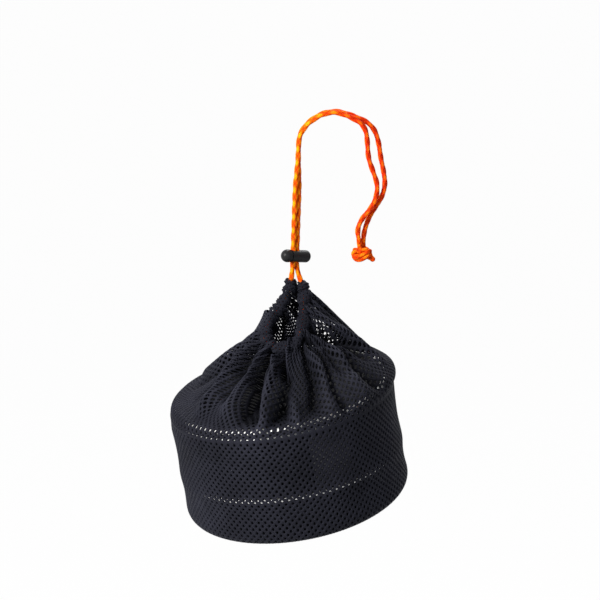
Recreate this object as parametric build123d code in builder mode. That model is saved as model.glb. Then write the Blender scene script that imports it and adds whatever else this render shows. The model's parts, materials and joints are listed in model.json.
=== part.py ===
from build123d import *
from math import atan2, cos, degrees, pi, radians, sin, tan
import os

# Black mesh drawstring bag, drawn shut round a drum-shaped load and hanging from its doubled cord.
# Millimetres, +Z up, +X to the right, -Y towards the front, where the bag's mouth faces.
# Origin: the crown of the bend where the doubled cord passes over the hand or hook that carries it.

os.makedirs("parts", exist_ok=True)

# ---------------------------------------------------------------- driving sizes
# Drum-shaped load: a dish, a pot standing in it, and the pot's lid
load_tilt = 11.2  # the drum leans to the left as the bag hangs, in degrees
shoulder_x = -38.7  # centre of the circle where the net turns in over the lid
shoulder_z = -236.0
dish_r = 95.0
dish_h = 41.0  # base of the load to the centre of the dish's rolled rim
dish_wall = 1.2
dish_corner_r = 8.0
pot_inset = 0.8  # the pot's wall inside the dish's radius
pot_h = 94.7  # base of the bag to the centre of the pot's rolled rim
pot_wall = 1.2
pot_corner_r = 6.0
bead_r = 1.9  # rolled rims
lid_over = 0.2  # the lid's skirt outside the pot's wall
lid_h = 8.2  # centre of the pot's rolled rim to the lid's rim plateau
lid_wall = 1.2
lid_edge_r = 5.2
lid_rise = 3.0  # the lid's shallow dome
stack_gap = 0.3  # between pieces stacked in the load
grip_w = 34.0  # folded flat grip against the pot's wall
grip_h = 44.0
grip_t = 1.2
grip_turn = 24.6  # to the right of the front, in degrees

# Mesh bag
net_t = 1.0
net_clear = 0.3  # net to the rims that it is stretched over
net_corner_r = 10.0
seam_w = 7.0
seam_t = 0.7
side_seam_turn = 32.0  # behind the right edge, in degrees
base_seam_h = 2.4
top_t = 1.4  # gathered cloth of the upper part, as a plain shell

# Drawstring cord and the casing at the mouth
cord_d = 4.4
casing_wall = 2.1
casing_clear = 0.35  # casing bore to cord
casing_to_top = 0.3
pair_gap = 0.1  # between the two strands where they lie side by side

# Hold, and the heights of the straight stretch below it
hold_r = 26.6  # radius of what the doubled cord bends over
hold_turn = 108.0  # the cord turns this far over the hold
lock_z = -120.0
lock_travel = 50.0  # along the straight stretch of the doubled cord
straight_low = 12.0  # to the corner below the lock's centre
straight_high = 9.0  # to the corner above the lock at the end of its travel
blend_drop = 12.0  # between the corners where the pair turns to lie across the hold

# Cord lock, its axis turned about the cord
lock_turn = 45.0  # the lock lies askew to the front, in degrees
lock_dip = 11.4  # and its closed end hangs lower than its button
barrel_r = 5.2
barrel_len = 22.2
barrel_end = 1.9
barrel_fillet = 3.0
mouth_wall = 0.9
bore_r = 3.45
stem_clear = 0.07
stem_len = 3.1  # solid stem beyond the cord slot
slot_clear = 0.1
press_travel = 1.2
button_r = 5.4
flange_t = 1.2
flange_fillet = 0.45
dome_h = 5.6
spring_wire = 0.8
spring_turns = 3.5
spring_clear = 0.25


# ---------------------------------------------------------------- helpers
def arc_radii(name, points, held=None):
    """Radius of each corner of a route: 0.45 of its shorter run over the tangent of half its turn."""
    held = held or {}
    route = [Vector(*p) for p in points]
    radii = []
    for i in range(1, len(route) - 1):
        before = route[i] - route[i - 1]
        after = route[i + 1] - route[i]
        turn = before.get_angle(after)
        shorter = min(before.length, after.length)
        radii.append(held.get(i, 0.45 * shorter / tan(radians(turn / 2))))
    print(name, "arc radii", [round(r, 1) for r in radii])
    return radii


def tube_check(name, tube, section_area, path_length):
    print(name, "volume", round(tube.volume, 1), "section x length", round(section_area * path_length, 1))


# ---------------------------------------------------------------- planes
tilt = radians(load_tilt)
load_up = Vector(-sin(tilt), 0, cos(tilt))
load_across = Vector(cos(tilt), 0, sin(tilt))
pot_r = dish_r - pot_inset
lid_r = pot_r + lid_over
lid_top = pot_h + lid_h
net_top = lid_top + net_clear + net_t
wall_high = pot_h + bead_r + 0.4  # the net turns in over the lid's rounded edge from here
turned_in = 5.8  # how far in it has turned at the lid's top
shoulder = Vector(shoulder_x, 0, shoulder_z)
load_base = shoulder - load_up * net_top


def load_plane(height=0.0, turn=0.0):
    """Plane across the drum at a height above its base, with X turned about the drum's axis."""
    across = load_across.rotate(Axis((0, 0, 0), load_up), turn)
    return Plane(origin=load_base + load_up * height, x_dir=across, z_dir=load_up)


def load_profile_plane():
    """Half-plane through the drum's axis: X outwards, Y up the axis."""
    return Plane(origin=load_base, x_dir=load_across, z_dir=load_across.cross(load_up))


load_axis = Axis(load_base, load_up)

# ---------------------------------------------------------------- net over the drum
net_in_r = dish_r - 0.1 + bead_r + net_clear
net_out_r = net_in_r + net_t
wall_low = net_corner_r

with BuildPart() as base_panel:
    with BuildSketch(load_profile_plane()):
        with BuildLine():
            Line((0, 0), (net_out_r - net_corner_r, 0))
            RadiusArc((net_out_r - net_corner_r, 0), (net_out_r, wall_low), -net_corner_r)
            Line((net_out_r, wall_low), (net_in_r, wall_low))
            RadiusArc((net_in_r, wall_low), (net_out_r - net_corner_r, net_t), net_corner_r - net_t)
            Line((net_out_r - net_corner_r, net_t), (0, net_t))
            Line((0, net_t), (0, 0))
        make_face()
    revolve(axis=load_axis)

with BuildPart() as side_panel:
    with BuildSketch(load_plane(wall_low)):
        Circle(net_out_r)
        Circle(net_in_r, mode=Mode.SUBTRACT)
    extrude(amount=wall_high - wall_low)

# Seam allowance of base and wall, turned inwards
with BuildPart() as base_seam:
    with BuildSketch(load_plane(wall_low + 0.2)):
        Circle(net_in_r - 0.1)
        Circle(net_in_r - 0.1 - seam_t, mode=Mode.SUBTRACT)
    extrude(amount=base_seam_h)

# Flat-felled seam that closes the wall into a tube
with BuildPart() as side_seam:
    with BuildSketch(load_plane(wall_low, side_seam_turn)):
        Circle(net_out_r + 0.05 + seam_t)
        Circle(net_out_r + 0.05, mode=Mode.SUBTRACT)
        with Locations((net_out_r, 0)):
            Rectangle(20, seam_w, mode=Mode.INTERSECT)
    extrude(amount=wall_high - wall_low)

# ---------------------------------------------------------------- load
load_floor = net_t + stack_gap
dish_bead_r = net_in_r - net_clear - bead_r
with BuildPart() as load_dish:
    with BuildSketch(load_profile_plane()):
        with BuildLine():
            Line((0, load_floor), (dish_r - dish_corner_r, load_floor))
            RadiusArc((dish_r - dish_corner_r, load_floor), (dish_r, load_floor + dish_corner_r), -dish_corner_r)
            Line((dish_r, load_floor + dish_corner_r), (dish_r, dish_h))
            Line((dish_r, dish_h), (dish_r - dish_wall, dish_h))
            Line((dish_r - dish_wall, dish_h), (dish_r - dish_wall, load_floor + dish_corner_r))
            RadiusArc(
                (dish_r - dish_wall, load_floor + dish_corner_r),
                (dish_r - dish_corner_r, load_floor + dish_wall),
                dish_corner_r - dish_wall,
            )
            Line((dish_r - dish_corner_r, load_floor + dish_wall), (0, load_floor + dish_wall))
            Line((0, load_floor + dish_wall), (0, load_floor))
        make_face()
        with Locations((dish_bead_r, dish_h)):
            Circle(bead_r)
    revolve(axis=load_axis)

pot_floor = load_floor + dish_wall + stack_gap
pot_low_r = dish_bead_r - bead_r - stack_gap  # the pot's foot clears the dish's rolled rim
pot_step = dish_h + bead_r + stack_gap
with BuildPart() as load_pot:
    with BuildSketch(load_profile_plane()):
        with BuildLine():
            Line((0, pot_floor), (pot_low_r - pot_corner_r, pot_floor))
            RadiusArc((pot_low_r - pot_corner_r, pot_floor), (pot_low_r, pot_floor + pot_corner_r), -pot_corner_r)
            Line((pot_low_r, pot_floor + pot_corner_r), (pot_low_r, pot_step))
            Line((pot_low_r, pot_step), (pot_r, pot_step + 1.5))
            Line((pot_r, pot_step + 1.5), (pot_r, pot_h))
            Line((pot_r, pot_h), (pot_r - pot_wall, pot_h))
            Line((pot_r - pot_wall, pot_h), (pot_r - pot_wall, pot_step + 2.5))
            Line((pot_r - pot_wall, pot_step + 2.5), (pot_low_r - pot_wall, pot_step + 1.0))
            Line((pot_low_r - pot_wall, pot_step + 1.0), (pot_low_r - pot_wall, pot_floor + pot_corner_r))
            RadiusArc(
                (pot_low_r - pot_wall, pot_floor + pot_corner_r),
                (pot_low_r - pot_corner_r, pot_floor + pot_wall),
                pot_corner_r - pot_wall,
            )
            Line((pot_low_r - pot_corner_r, pot_floor + pot_wall), (0, pot_floor + pot_wall))
            Line((0, pot_floor + pot_wall), (0, pot_floor))
        make_face()
        with Locations((pot_r - bead_r / 2, pot_h)):
            Circle(bead_r)
    revolve(axis=load_axis)

lid_low = pot_h + bead_r + stack_gap
lid_in_r = lid_r - lid_wall
with BuildPart() as load_lid:
    with BuildSketch(load_profile_plane()):
        with BuildLine():
            Line((0, lid_top + lid_rise - lid_wall), (lid_in_r - lid_edge_r, lid_top - lid_wall))
            Line((lid_in_r - lid_edge_r, lid_top - lid_wall), (lid_in_r, lid_top - lid_edge_r))
            Line((lid_in_r, lid_top - lid_edge_r), (lid_in_r, lid_low))
            Line((lid_in_r, lid_low), (lid_r, lid_low))
            Line((lid_r, lid_low), (lid_r, lid_top - lid_edge_r))
            RadiusArc((lid_r, lid_top - lid_edge_r), (lid_r - lid_edge_r, lid_top), -lid_edge_r)
            Line((lid_r - lid_edge_r, lid_top), (0, lid_top + lid_rise))
            Line((0, lid_top + lid_rise), (0, lid_top + lid_rise - lid_wall))
        make_face()
    revolve(axis=load_axis)

grip_in_r = pot_r + 0.2
with BuildPart() as load_grip:
    with BuildSketch(load_plane(pot_step + 2.5, grip_turn - 90)):
        Circle(grip_in_r + grip_t)
        Circle(grip_in_r, mode=Mode.SUBTRACT)
        with Locations((grip_in_r, 0)):
            Rectangle(20, grip_w, mode=Mode.INTERSECT)
    extrude(amount=grip_h)

# ---------------------------------------------------------------- cord routes
# The doubled cord runs up from the lock beside the hold, over it, and down to the knot.
bend_r = hold_r + cord_d / 2
plumb_x = -bend_r
half_pair = (cord_d + pair_gap) / 2
hold_half = half_pair + pair_gap
knot_side = half_pair - 2 * pair_gap
blend_turn = radians((lock_turn + 90) / 2)
blend_x = (hold_half + pair_gap / 2) * cos(blend_turn)
blend_y = (hold_half + pair_gap / 2) * sin(blend_turn)
lock_flat = Vector(cos(radians(lock_turn)), sin(radians(lock_turn)), 0)
lock_dir = lock_flat * cos(radians(lock_dip)) - Vector(0, 0, sin(radians(lock_dip)))
lock_centre = Vector(plumb_x, 0, lock_z)
low_z = lock_z - straight_low
high_z = lock_z + lock_travel + straight_high
half_turn = radians(hold_turn / 2)
corner_run = bend_r * tan(half_turn / 2)
corner_1 = (plumb_x, -hold_r + corner_run)
crown_side = (bend_r * cos(pi - half_turn), -hold_r + bend_r * sin(pi - half_turn))
crown_dir = (cos(pi / 2 - half_turn), sin(pi / 2 - half_turn))
corner_2 = (crown_side[0] + corner_run * crown_dir[0], crown_side[1] + corner_run * crown_dir[1])
arc_ease = 0.99  # leaves a short straight between the two arcs over the hold

left_at_lock = lock_centre - lock_flat * half_pair
right_at_lock = lock_centre + lock_flat * half_pair
left_exit = (-31.6, -2.0, -143.0)
right_exit = (-21.8, -1.6, -144.6)

left_route = [
    left_exit,
    (left_at_lock.X, left_at_lock.Y, low_z),
    (left_at_lock.X, left_at_lock.Y, high_z),
    (plumb_x - blend_x, -blend_y, high_z + blend_drop),
    (plumb_x, -hold_half, high_z + 2 * blend_drop),
    (corner_1[0], -hold_half, corner_1[1]),
    (corner_2[0], -hold_half, corner_2[1]),
    (17.8, -2.4, -2.3),
    (25.4, -2.6, -9.8),
    (27.2, -2.5, -21.0),
    (28.4, -2.1, -34.0),
    (33.2, -1.9, -45.6),
    (37.2, -1.7, -56.0),
    (36.8, -2.0, -66.2),
    (32.8, -2.6, -76.0),
    (25.7, -2.7, -84.6),
    (21.9, -2.3, -94.8),
    (24.6, -1.9, -106.2),
    (25.4, -knot_side, -111.5),
]
right_route = [
    right_exit,
    (right_at_lock.X, right_at_lock.Y, low_z),
    (right_at_lock.X, right_at_lock.Y, high_z),
    (plumb_x + blend_x, blend_y, high_z + blend_drop),
    (plumb_x, hold_half, high_z + 2 * blend_drop),
    (corner_1[0], hold_half, corner_1[1]),
    (corner_2[0], hold_half, corner_2[1]),
    (21.8, 2.4, -2.2),
    (32.0, 2.6, -9.4),
    (36.6, 2.5, -21.2),
    (38.6, 2.3, -33.5),
    (41.9, 2.0, -45.8),
    (43.8, 1.9, -57.0),
    (41.2, 2.1, -68.2),
    (35.4, 2.4, -77.6),
    (30.6, 2.3, -87.4),
    (28.0, 2.0, -98.0),
    (27.7, 1.8, -107.0),
    (27.9, knot_side, -111.5),
]
free_held = {5: bend_r * arc_ease, 6: bend_r * arc_ease}

# The rest of the same cord, inside the casing round the bag's mouth.
left_dir = (Vector(*left_route[0]) - Vector(*left_route[1])).normalized()
right_dir = (Vector(*right_route[0]) - Vector(*right_route[1])).normalized()
left_inside = Vector(*left_exit) + left_dir * 8.0
right_inside = Vector(*right_exit) + right_dir * 6.0
mouth_route = [
    left_exit,
    (left_inside.X, left_inside.Y, left_inside.Z),
    (-37.6, -10.0, -158.0),
    (-43.6, -14.6, -165.6),
    (-49.9, -20.4, -173.4),
    (-51.6, -26.8, -182.6),
    (-44.4, -31.4, -189.8),
    (-33.6, -32.6, -191.4),
    (-24.6, -29.4, -186.6),
    (-20.1, -22.4, -177.2),
    (-19.4, -14.6, -166.0),
    (-19.6, -8.0, -155.6),
    (right_inside.X, right_inside.Y, right_inside.Z),
    right_exit,
]
cord_area = pi * (cord_d / 2) ** 2

with BuildPart() as cord_left:
    with BuildLine() as left_path:
        FilletPolyline(*left_route, radius=arc_radii("cord_left", left_route, free_held))
    left_start = Vector(*left_route[1]) - Vector(*left_route[0])
    with BuildSketch(Plane(origin=left_route[0], z_dir=left_start)):
        Circle(cord_d / 2)
    sweep(path=left_path.wires()[0])
tube_check("cord_left", cord_left.part, cord_area, left_path.wires()[0].length)

with BuildPart() as cord_right:
    with BuildLine() as right_path:
        FilletPolyline(*right_route, radius=arc_radii("cord_right", right_route, free_held))
    right_start = Vector(*right_route[1]) - Vector(*right_route[0])
    with BuildSketch(Plane(origin=right_route[0], z_dir=right_start)):
        Circle(cord_d / 2)
    sweep(path=right_path.wires()[0])
tube_check("cord_right", cord_right.part, cord_area, right_path.wires()[0].length)

mouth_radii = arc_radii("cord_mouth", mouth_route)
with BuildPart() as cord_mouth:
    with BuildLine() as mouth_path:
        FilletPolyline(*mouth_route, radius=mouth_radii)
    with BuildSketch(Plane(origin=mouth_route[0], z_dir=left_dir)):
        Circle(cord_d / 2)
    sweep(path=mouth_path.wires()[0])
tube_check("cord_mouth", cord_mouth.part, cord_area, mouth_path.wires()[0].length)

# ---------------------------------------------------------------- casing and gathered top
casing_in_r = cord_d / 2 + casing_clear
casing_out_r = casing_in_r + casing_wall
with BuildPart() as hem_casing:
    with BuildSketch(Plane(origin=mouth_route[0], z_dir=left_dir)):
        Circle(casing_out_r)
        Circle(casing_in_r, mode=Mode.SUBTRACT)
    sweep(path=mouth_path.wires()[0])

with BuildPart() as casing_room:
    with BuildSketch(Plane(origin=mouth_route[0], z_dir=left_dir)):
        Circle(casing_out_r + casing_to_top)
    sweep(path=mouth_path.wires()[0])

# Sections of the gathered top, from the drum's shoulder up to the neck:
# centre, half-widths across X and Y, lean of the section to the left.
top_sections = [
    (load_base + load_up * wall_high, net_out_r, net_out_r, load_tilt),
    (load_base + load_up * (net_top + 0.6), net_out_r - turned_in, net_out_r - turned_in, load_tilt),
    ((-21.0, 3.0, -214.0), 73.0, 68.0, 7.0),
    ((-22.5, 4.5, -190.0), 45.5, 38.5, 3.0),
    ((-26.0, 0.0, -150.0), 10.5, 11.0, 0.0),
]


def section_plane(centre, lean):
    lean = radians(lean)
    return Plane(origin=centre, x_dir=(cos(lean), 0, sin(lean)), z_dir=(-sin(lean), 0, cos(lean)))


with BuildPart() as gathered_top:
    for centre, half_x, half_y, lean in top_sections:
        with BuildSketch(section_plane(centre, lean)):
            Ellipse(half_x, half_y)
    loft(ruled=True)
    for centre, half_x, half_y, lean in top_sections:
        with BuildSketch(section_plane(centre, lean)):
            Ellipse(half_x - top_t, half_y - top_t)
    loft(ruled=True, mode=Mode.SUBTRACT)
    # Mouth, open to the front inside the loop of the casing
    with BuildSketch(Plane(origin=(-35.0, 0, -171.0), x_dir=(1, 0, 0), z_dir=(0, -1, 0))):
        Ellipse(21.5, 27.5, rotation=-12)
    extrude(amount=70, both=False, mode=Mode.SUBTRACT)
    add(casing_room.part, mode=Mode.SUBTRACT)

# ---------------------------------------------------------------- knot
knot_centre = Vector(27.1, 0, -116.0)
knot_len = 17.5
knot_r = 6.1
knot_dir = Vector(0.99, 0, 0.14).normalized()
with BuildPart() as cord_knot:
    with BuildSketch(Plane(origin=knot_centre - knot_dir * (knot_len / 2), z_dir=knot_dir)):
        Circle(knot_r)
    extrude(amount=knot_len)
    fillet(cord_knot.edges().filter_by(GeomType.CIRCLE), knot_r - 0.8)
    with BuildSketch(Plane(origin=(31.0, 0, -118.0), z_dir=(0.8, -0.1, -0.45))):
        Circle(cord_d / 2)
    extrude(amount=8.4)
    with BuildSketch(Plane(origin=(30.0, 1.5, -118.0), z_dir=(0.6, 0.35, -0.55))):
        Circle(cord_d / 2)
    extrude(amount=6.5)

# ---------------------------------------------------------------- cord lock
slot_half = 2 * half_pair + slot_clear
mouth_at = -slot_half - mouth_wall - barrel_r * tan(radians(lock_dip))
flange_at = mouth_at - press_travel
stem_r = bore_r - stem_clear
stem_tip = slot_half + stem_len
lock_across = lock_dir.cross(Vector(0, 0, 1)).normalized()
lock_plane = Plane(origin=lock_centre, x_dir=lock_across, z_dir=lock_dir)


def along_lock(distance):
    return lock_plane.offset(distance)


slot_plane = Plane(origin=lock_centre, x_dir=lock_flat, z_dir=(0, 0, 1))
slot_w = cord_d + 2 * slot_clear
barrel_tip = mouth_at + barrel_len

with BuildPart() as lock_barrel:
    with BuildSketch(along_lock(mouth_at)):
        Circle(barrel_r)
    extrude(amount=barrel_len)
    fillet(lock_barrel.faces().sort_by(Axis((0, 0, 0), lock_dir))[-1].edges(), barrel_fillet)
    fillet(lock_barrel.faces().sort_by(Axis((0, 0, 0), lock_dir))[0].edges(), 0.4)
    with BuildSketch(along_lock(mouth_at)):
        Circle(bore_r)
    extrude(amount=barrel_len - barrel_end, mode=Mode.SUBTRACT)
    with BuildSketch(slot_plane):
        SlotOverall(2 * slot_half, slot_w)
    extrude(amount=2 * barrel_r, both=True, mode=Mode.SUBTRACT)

# The plunger's slot runs on towards the button, so that the cords stay free while it is pressed.
with BuildPart() as lock_button:
    with BuildSketch(along_lock(flange_at)):
        Circle(stem_r)
    extrude(amount=stem_tip - flange_at)
    with BuildSketch(slot_plane):
        with Locations((-press_travel / 2, 0)):
            SlotOverall(2 * slot_half + press_travel, slot_w)
    extrude(amount=2 * barrel_r, both=True, mode=Mode.SUBTRACT)
    with BuildSketch(Plane(origin=lock_centre, x_dir=lock_dir, z_dir=lock_across)):
        with Locations((flange_at - flange_t, 0)):
            Ellipse(dome_h, button_r)
            Rectangle(dome_h, button_r, align=(Align.MAX, Align.MIN), mode=Mode.INTERSECT)
    revolve(axis=Axis(lock_centre, lock_dir))
    with BuildSketch(along_lock(flange_at - flange_t)):
        Circle(button_r)
    extrude(amount=flange_t)

spring_low = stem_tip + spring_clear
spring_high = mouth_at + barrel_len - barrel_end - spring_clear
spring_r = bore_r - spring_wire / 2 - spring_clear
spring_len = spring_high - spring_low - spring_wire
with BuildPart() as lock_spring:
    with BuildLine() as coil:
        coil_foot = lock_centre + lock_dir * (spring_low + spring_wire / 2)
        coil_pitch = spring_len / spring_turns
        Helix(pitch=coil_pitch, height=spring_len, radius=spring_r, center=coil_foot, direction=lock_dir)
    with BuildSketch(Plane(origin=coil.wires()[0] @ 0, z_dir=coil.wires()[0] % 0)):
        Circle(spring_wire / 2)
    sweep(path=coil.wires()[0], is_frenet=True)

# ---------------------------------------------------------------- write
pieces = {
    "base_panel": base_panel,
    "side_panel": side_panel,
    "base_seam": base_seam,
    "side_seam": side_seam,
    "gathered_top": gathered_top,
    "hem_casing": hem_casing,
    "cord_mouth": cord_mouth,
    "cord_left": cord_left,
    "cord_right": cord_right,
    "cord_knot": cord_knot,
    "lock_barrel": lock_barrel,
    "lock_button": lock_button,
    "lock_spring": lock_spring,
    "load_dish": load_dish,
    "load_pot": load_pot,
    "load_lid": load_lid,
    "load_grip": load_grip,
}
for label, piece in pieces.items():
    piece.part.label = label
    export_step(piece.part, "parts/" + label + ".step")
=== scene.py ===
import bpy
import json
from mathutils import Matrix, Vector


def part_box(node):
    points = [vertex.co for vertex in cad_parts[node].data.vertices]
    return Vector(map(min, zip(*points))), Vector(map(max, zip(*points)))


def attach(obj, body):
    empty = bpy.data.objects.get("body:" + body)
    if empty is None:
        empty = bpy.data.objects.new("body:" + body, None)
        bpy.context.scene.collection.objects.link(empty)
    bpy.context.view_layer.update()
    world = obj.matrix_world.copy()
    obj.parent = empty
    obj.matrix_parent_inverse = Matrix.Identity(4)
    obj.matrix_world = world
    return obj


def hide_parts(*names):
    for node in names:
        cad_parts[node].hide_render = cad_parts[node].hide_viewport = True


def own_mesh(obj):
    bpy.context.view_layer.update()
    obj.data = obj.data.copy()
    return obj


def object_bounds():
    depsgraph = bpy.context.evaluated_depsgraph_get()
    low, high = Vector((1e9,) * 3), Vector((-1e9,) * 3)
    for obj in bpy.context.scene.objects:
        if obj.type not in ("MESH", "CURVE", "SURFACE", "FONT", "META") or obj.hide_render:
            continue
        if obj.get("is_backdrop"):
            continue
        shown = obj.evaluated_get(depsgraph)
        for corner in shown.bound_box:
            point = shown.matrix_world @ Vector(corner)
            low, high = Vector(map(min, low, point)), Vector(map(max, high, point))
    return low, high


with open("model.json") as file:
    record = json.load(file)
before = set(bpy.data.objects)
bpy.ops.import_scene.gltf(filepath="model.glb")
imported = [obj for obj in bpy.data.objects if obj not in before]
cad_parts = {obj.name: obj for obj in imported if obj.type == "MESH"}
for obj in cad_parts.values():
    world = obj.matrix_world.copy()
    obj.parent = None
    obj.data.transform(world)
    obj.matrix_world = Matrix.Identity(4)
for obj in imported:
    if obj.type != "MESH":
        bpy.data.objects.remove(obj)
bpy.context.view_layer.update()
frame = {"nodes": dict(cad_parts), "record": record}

import json
import math

import bpy
import numpy as np
from bpy.props import FloatProperty, FloatVectorProperty, IntProperty, PointerProperty
from mathutils import Matrix, Vector

bl_info = {
    "name": "Mesh Drawstring Bag",
    "version": (1, 0, 0),
    "blender": (4, 5, 0),
    "location": "View3D > Sidebar > Mesh Bag",
    "description": "Builds a mesh drawstring bag round a packed drum-shaped load, with its cord and cord lock",
    "category": "Add Mesh",
}

# ------------------------------------------------------------------ the bag's frame
# Lengths are in metres. "Above the base" is along the load, which leans as the bag hangs.
base_face = next(m for m in frame["record"]["mounts"] if m["name"] == "base_face")
base_centre = np.array(base_face["pos_m"], float)
load_up = -np.array(base_face["axis"], float)
load_up /= np.linalg.norm(load_up)
load_across = np.array([load_up[2], 0, -load_up[0]])
front_back = np.array([0.0, 1.0, 0.0])


def top_of(name):
    """How high a piece of the frame reaches above the base."""
    points = np.array([v.co for v in frame["nodes"][name].data.vertices], float)
    return float(((points - base_centre) @ load_up).max())


def radius_of(name):
    """Radius of a round piece of the frame, from its width front to back."""
    low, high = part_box(name)
    return (high.y - low.y) / 2


net_half_thick = 0.0005
net_r = radius_of("side_panel") - net_half_thick
net_corner = 0.0095  # radius of the cloth's turn from base to wall
wall_low = 0.010  # where the wall starts, above the base
wall_top = top_of("side_panel") - 0.0018

# Middles of the load's rolled rims and of the lid's edge, above the base
# The rims are bare metal; their band is also painted near white, a painted glint that shows from every side
rim_r = 0.0019
rim_half, lid_edge_half = 0.0021, 0.0014  # half the width that shows bright
rim_least, lid_edge_least = 0.0900, 0.0885  # least distance from the axis at which it does
dish_rim = top_of("load_dish") - rim_r
pot_rim = top_of("load_pot") - rim_r
lid_edge = pot_rim + 0.0068

# The lid's rounded edge and low dome, as the part's source has them
lid_round = 0.0052
lid_dome = 0.0030
lid_round_r = radius_of("load_lid") - lid_round
lid_round_h = top_of("load_lid") - lid_dome - lid_round
thread_clear = 0.0011  # least distance from the lid to the middle of the cloth

# Points of the cord, repeated from the part's source
left_route = [
    (-0.0316, -0.0020, -0.1430), (-0.03039, -0.00159, -0.1320), (-0.03039, -0.00159, -0.1210),
    (-0.03039, -0.00159, -0.0730), (-0.03039, -0.00159, -0.0610), (-0.02972, -0.00222, -0.0490),
    (-0.0288, -0.00235, -0.0370), (-0.0288, -0.00235, -0.01193), (-0.00506, -0.00235, 0.00533),
    (0.0178, -0.0024, -0.0023), (0.0254, -0.0026, -0.0098), (0.0272, -0.0025, -0.0210),
    (0.0284, -0.0021, -0.0340), (0.0332, -0.0019, -0.0456), (0.0372, -0.0017, -0.0560),
    (0.0368, -0.0020, -0.0662), (0.0328, -0.0026, -0.0760), (0.0257, -0.0027, -0.0846),
    (0.0219, -0.0023, -0.0948), (0.0246, -0.0019, -0.1062), (0.0254, -0.00205, -0.1115),
]
right_route = [
    (-0.0218, -0.0016, -0.1446), (-0.02721, 0.00159, -0.1320), (-0.02721, 0.00159, -0.1210),
    (-0.02721, 0.00159, -0.0730), (-0.02721, 0.00159, -0.0610), (-0.02788, 0.00222, -0.0490),
    (-0.0288, 0.00235, -0.0370), (-0.0288, 0.00235, -0.01193), (-0.00506, 0.00235, 0.00533),
    (0.0218, 0.0024, -0.0022), (0.0320, 0.0026, -0.0094), (0.0366, 0.0025, -0.0212),
    (0.0386, 0.0023, -0.0335), (0.0419, 0.0020, -0.0458), (0.0438, 0.0019, -0.0570),
    (0.0412, 0.0021, -0.0682), (0.0354, 0.0024, -0.0776), (0.0306, 0.0023, -0.0874),
    (0.0280, 0.0020, -0.0980), (0.0277, 0.0018, -0.1070), (0.0279, 0.00205, -0.1115),
]
mouth_route = [
    (-0.0316, -0.0020, -0.1430), (-0.03247, -0.0023, -0.15095), (-0.0376, -0.0100, -0.1580),
    (-0.0436, -0.0146, -0.1656), (-0.0499, -0.0204, -0.1734), (-0.0516, -0.0268, -0.1826),
    (-0.0444, -0.0314, -0.1898), (-0.0336, -0.0326, -0.1914), (-0.0246, -0.0294, -0.1866),
    (-0.0201, -0.0224, -0.1772), (-0.0194, -0.0146, -0.1660), (-0.0196, -0.0080, -0.1556),
    (-0.0195, -0.00296, -0.14997), (-0.0218, -0.0016, -0.1446),
]

# The knot's two strands after the ends of the routes, in mm about its centre: along it, across, and up
knot_centre = np.array([0.0271, 0.0, -0.1160])
knot_along = np.array([0.99, 0, 0.14])
left_wraps = [
    (-2.6, -2.2, 3.2), (-5.4, -2.4, 3.4), (-7.2, -0.6, 1.2), (-6.4, -3.4, -1.6), (-3.0, -4.2, -0.9),
    (1.6, -4.3, 0.9), (5.4, -3.4, 2.2), (7.0, 0.2, 1.6), (4.6, 3.6, 0.4), (0.0, 4.1, 0.8),
    (-4.6, 3.4, 2.2), (-5.8, 0.2, 4.0), (-3.0, -2.8, 3.6), (1.4, -3.0, 3.8), (5.0, -1.0, 3.2),
    (6.6, 1.6, -0.4), (6.4, -0.8, -2.8), (8.0, -0.9, -5.0), (10.0, -0.8, -7.0),
]
right_wraps = [
    (2.6, 2.4, 3.6), (5.2, 1.6, 2.4), (6.6, -2.2, 0.0), (3.6, -4.2, -2.0), (-0.8, -3.9, -3.4),
    (-5.0, -2.4, -3.9), (-7.0, 0.4, -2.2), (-5.0, 3.4, -1.2), (0.0, 3.9, -2.6), (4.4, 3.0, -3.2),
    (5.6, 3.2, -4.6), (6.4, 3.9, -6.6),
]

# Colours that more than one finish uses
rim_metal_and_glint = (0.90, 0.90, 0.88)
coating_dark, coating_light = (0.005, 0.005, 0.006), (0.010, 0.010, 0.012)


# ------------------------------------------------------------------ settings
class MeshBagNet(bpy.types.PropertyGroup):
    columns: IntProperty(name="Columns", description="Holes round the bag", default=106, min=20, max=140)
    row_pitch: FloatProperty(
        name="Row Pitch", description="Distance between rows of holes", default=0.0030, unit="LENGTH")
    hole_radius: FloatProperty(
        name="Hole Radius", description="Radius of each hole in the net", default=0.00105, unit="LENGTH")
    thread_height: FloatProperty(
        name="Thread Height", description="How far the threads stand out round the holes",
        default=0.00042, unit="LENGTH")
    colour: FloatVectorProperty(
        name="Colour", description="Colour of the net's yarn", subtype="COLOR",
        default=(0.0180, 0.0186, 0.0272), min=0, max=1)


class MeshBagCord(bpy.types.PropertyGroup):
    diameter: FloatProperty(
        name="Diameter", description="Diameter of the braided cord", default=0.0044, unit="LENGTH")
    braid_pitch: FloatProperty(
        name="Braid Pitch", description="Length of cord in one turn of a strand", default=0.0230, unit="LENGTH")
    # the bright yarn colours the taut side of the hold, painted as lit; the other yarn colours the slack side, painted
    # in shade, and the second strands
    bright: FloatVectorProperty(
        name="Bright Yarn", description="Colour of the cord's bright strands", subtype="COLOR",
        default=(1.0, 0.150, 0.001), min=0, max=1)
    second_tone_and_shade: FloatVectorProperty(
        name="Deep Yarn", description="Colour of the cord's deeper strands", subtype="COLOR",
        default=(0.70, 0.028, 0.001), min=0, max=1)


class MeshBagStage(bpy.types.PropertyGroup):
    floor_drop: FloatProperty(
        name="Floor Drop", description="Distance from the bag's base down to the floor",
        default=0.6, unit="LENGTH")
    key_power: FloatProperty(
        name="Key Power", description="Power of the large soft lamp", default=40.0, unit="POWER")


# ------------------------------------------------------------------ mesh helpers
def placed(name, data):
    """New object with this data, in the scene."""
    made = bpy.data.objects.new(name, data)
    bpy.context.scene.collection.objects.link(made)
    return made


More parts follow.
